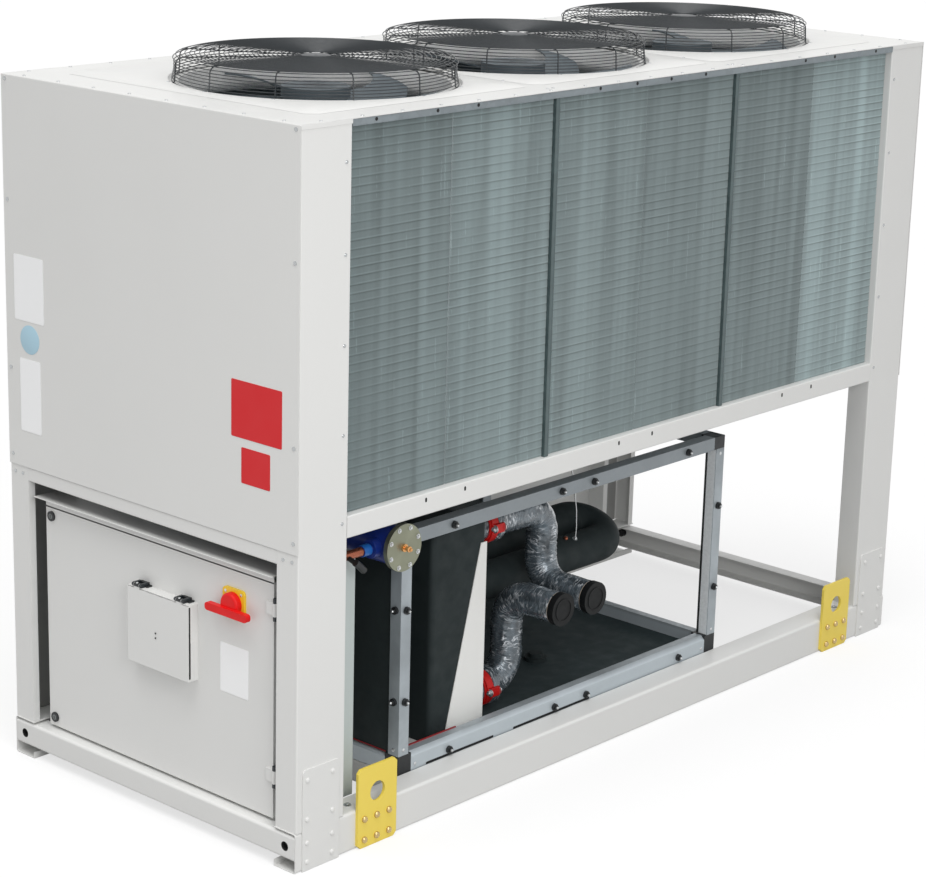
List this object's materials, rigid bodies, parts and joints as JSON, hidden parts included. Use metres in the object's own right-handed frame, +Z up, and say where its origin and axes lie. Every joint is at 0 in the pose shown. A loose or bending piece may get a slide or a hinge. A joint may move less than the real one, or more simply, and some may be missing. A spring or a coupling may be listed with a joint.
{
  "type": "air cooled water chiller",
  "caption": "Packaged air cooled water chiller with a folded sheet frame, finned side coils, guarded roof fans, a hinged electrical cabinet door and an open bay with the water side.",
  "frame": {"origin": "on the ground under the middle of the unit", "axes": "+X along the unit away from the cabinet end, +Y across to the rear coil side, +Z up"},
  "size_m": [3.0704, 1.312, 2.273],
  "materials": {
    "grey_paint": "fine satin powder coat",
    "yellow_paint": "satin paint",
    "galvanised": "galvanised sheet",
    "coil_fins": "thin aluminium fins",
    "black_wire": "black coated wire",
    "fan_grey": "dark coated blades",
    "black_plastic": "moulded",
    "yellow_plastic": "moulded",
    "red_plastic": "moulded",
    "aluminium_bar": "mill finish",
    "foam": "closed cell foam",
    "white_sheet": "painted sheet",
    "red_paint": "painted coupling",
    "pipe_wrap": "foil wrapped insulation",
    "blue_paint": "painted shell",
    "zinc_flange": "zinc plated",
    "copper": "drawn tube"
  },
  "bodies": {
    "frame": {"base_rails": "grey_paint", "base_beams": "grey_paint", "corner_posts": "grey_paint", "gusset_plates": "grey_paint", "lifting_plates": "yellow_paint", "mid_rails": "grey_paint", "end_rails": "grey_paint", "end_panels": "grey_paint", "rear_panel": "grey_paint", "top_strips": "galvanised", "plenum_floor": "galvanised", "coil_front": "coil_fins", "coil_rear": "coil_fins", "coil_strips": "galvanised", "fan_deck_left": "grey_paint", "fan_deck_middle": "grey_paint", "fan_deck_right": "grey_paint", "fan_bells": "grey_paint", "fan_guard_left": "black_wire", "fan_guard_middle": "black_wire", "fan_guard_right": "black_wire", "fan_motors": "fan_grey", "cabinet_box": "grey_paint", "cabinet_hood": "grey_paint", "cabinet_hinges": "black_wire", "enclosure_bars": "aluminium_bar", "enclosure_corners": "black_plastic", "enclosure_knobs": "black_plastic", "enclosure_end_wall": "foam", "enclosure_rear_wall": "foam", "enclosure_floor": "grey_paint", "enclosure_mat": "foam", "rubber_mount": "foam", "heat_exchanger": "foam", "exchanger_bracket": "white_sheet", "pipe_couplings": "red_paint", "lower_water_pipe": "pipe_wrap", "upper_water_pipe": "pipe_wrap", "pipe_caps": "black_plastic", "suction_pipe": "foam", "drier_shell": "blue_paint", "drier_flange": "zinc_flange", "liquid_line": "copper"},
    "fan_left": {"fan_rotor_left": "fan_grey"},
    "fan_middle": {"fan_rotor_middle": "fan_grey"},
    "fan_right": {"fan_rotor_right": "fan_grey"},
    "door": {"cabinet_door": "grey_paint", "door_locks": "black_plastic", "controller_housing": "grey_paint", "controller_hinges": "black_wire", "switch_plate": "yellow_plastic"},
    "flap": {"controller_flap": "grey_paint"},
    "handle": {"switch_handle": "red_plastic"}
  },
  "joints": [
    {"name": "fan_left_spin", "type": "hinge", "parent": "frame", "child": "fan_left", "pos_m": [-0.9, -0.058, 2.137], "axis": [0, 0, 1], "continuous": true},
    {"name": "fan_middle_spin", "type": "hinge", "parent": "frame", "child": "fan_middle", "pos_m": [0, -0.058, 2.137], "axis": [0, 0, 1], "continuous": true},
    {"name": "fan_right_spin", "type": "hinge", "parent": "frame", "child": "fan_right", "pos_m": [0.9, -0.058, 2.137], "axis": [0, 0, 1], "continuous": true},
    {"name": "door_swing", "type": "hinge", "parent": "frame", "child": "door", "pos_m": [-1.5055, -0.529, 0.5], "axis": [0, 0, 1], "range_deg": [0, 110]},
    {"name": "flap_swing", "type": "hinge", "parent": "door", "child": "flap", "pos_m": [-1.5319, -0.052, 0.719], "axis": [0, 1, 0], "range_deg": [0, 100]},
    {"name": "switch_turn", "type": "hinge", "parent": "door", "child": "handle", "pos_m": [-1.5055, -0.352, 0.754], "axis": [-1, 0, 0], "range_deg": [0, 90]}
  ]
}
